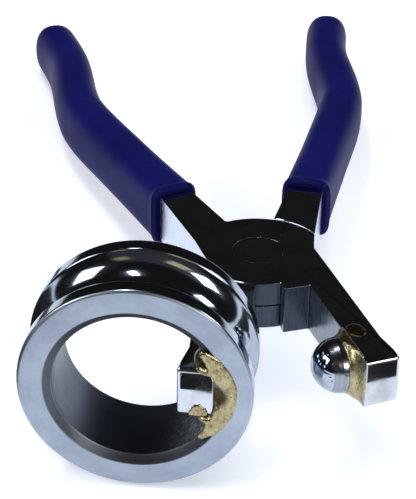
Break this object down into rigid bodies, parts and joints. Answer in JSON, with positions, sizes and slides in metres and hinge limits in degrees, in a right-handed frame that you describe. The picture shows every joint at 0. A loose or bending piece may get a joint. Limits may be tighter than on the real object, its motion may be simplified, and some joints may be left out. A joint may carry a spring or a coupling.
{
  "type": "ring and dome forming pliers",
  "caption": "Lap-joint hand pliers with dipped grips, a grooved ring brazed to one jaw and a domed stud brazed to the other that nests in its groove.",
  "frame": {"origin": "pivot axis at the underside flat of the joint", "axes": "+Z along the pivot axis, out of the joint's top flat; +Y along the pliers' centreline, towards the handles; +X to the right seen from above, towards the dome's jaw"},
  "size_m": [0.1066, 0.1997, 0.0524],
  "materials": {
    "polished_steel": "ground and polished forged steel",
    "rivet_steel": "ground flush with the joint's flats",
    "turned_steel": "lathe turned, groove and dome polished, ring face satin",
    "braze_alloy": "as-flowed braze, rippled and pitted",
    "dipped_vinyl": "satin dip-coated vinyl"
  },
  "bodies": {
    "upper": {"upper_lever": "polished_steel", "left_grip": "dipped_vinyl", "pivot_rivet": "rivet_steel", "dome_stud": "turned_steel", "dome_braze": "braze_alloy"},
    "lower": {"lower_lever": "polished_steel", "right_grip": "dipped_vinyl", "groove_ring": "turned_steel", "ring_braze": "braze_alloy"}
  },
  "joints": [
    {"name": "pivot", "type": "hinge", "parent": "upper", "child": "lower", "pos_m": [0, 0, 0.006], "axis": [0, 0, -1], "range_deg": [-20, 25]}
  ]
}
